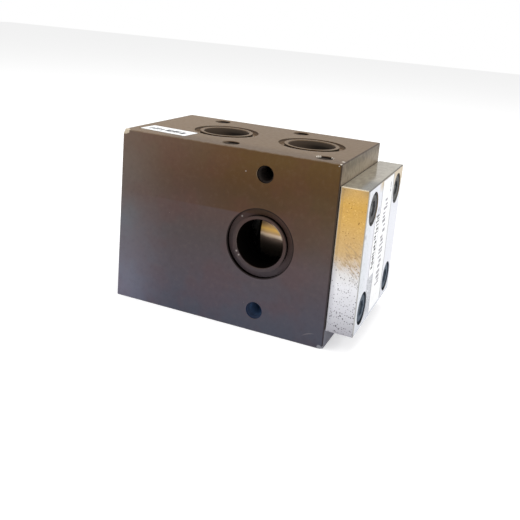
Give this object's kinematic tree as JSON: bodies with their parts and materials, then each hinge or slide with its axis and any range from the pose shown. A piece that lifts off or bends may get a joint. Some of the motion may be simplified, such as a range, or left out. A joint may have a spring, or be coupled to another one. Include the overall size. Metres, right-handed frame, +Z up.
{
  "type": "thermostatic diverting valve",
  "caption": "Block-bodied thermostatic oil diverting valve: wax element and sliding sleeve inside a drilled block with flange ports and a bolted end cover.",
  "frame": {"origin": "middle of the underside of the whole valve, cover included", "axes": "+X along the valve's axis from the blind end to the cover, -Y out of the face with the bypass port, +Z up out of the face with the inlet and cooler ports"},
  "size_m": [0.1456, 0.08, 0.1011],
  "materials": {
    "block_anodised": "brown anodised, semi-gloss, handled",
    "cover_aluminium": "bright machined",
    "gasket_sheet": "matt",
    "screw_black": "black oxide",
    "steel_turned": "turned",
    "spring_steel": "drawn wire",
    "sleeve_metal": "bright turned",
    "element_brass": "turned",
    "seal_rubber": "matt",
    "wax": "waxy",
    "label_white": "printed film"
  },
  "bodies": {
    "root": {"valve_body": "block_anodised", "cover_gasket": "gasket_sheet", "cover_plate": "cover_aluminium", "cover_screws": "screw_black", "seat_ring": "steel_turned", "seat_seal": "seal_rubber", "seat_circlip": "spring_steel", "key_pin": "steel_turned", "spring_seat": "steel_turned", "return_spring": "spring_steel", "overtravel_housing": "steel_turned", "overtravel_spring": "spring_steel", "top_label": "label_white", "cover_label_wide": "label_white", "cover_label_narrow": "label_white"},
    "shuttle": {"control_sleeve": "sleeve_metal", "element_spider": "steel_turned", "spider_snap_ring": "spring_steel", "element_cup": "element_brass", "wax_charge": "wax", "element_boot": "seal_rubber", "element_guide": "element_brass", "element_lock_nut": "element_brass", "valve_stem": "steel_turned", "disc_seal": "seal_rubber", "valve_disc": "steel_turned", "disc_nut": "steel_turned"},
    "overtravel": {"overtravel_plunger": "steel_turned", "element_pin": "steel_turned"}
  },
  "joints": [
    {"name": "shuttle_slide", "type": "slide", "parent": "root", "child": "shuttle", "axis": [-1, 0, 0], "range_m": [0, 0.008], "stiffness_N_per_m": 4700, "springref_m": -0.0135, "deforming": ["return_spring"]},
    {"name": "overtravel_slide", "type": "slide", "parent": "root", "child": "overtravel", "axis": [1, 0, 0], "range_m": [0, 0.003], "stiffness_N_per_m": 8800, "springref_m": -0.014, "deforming": ["overtravel_spring"]}
  ]
}
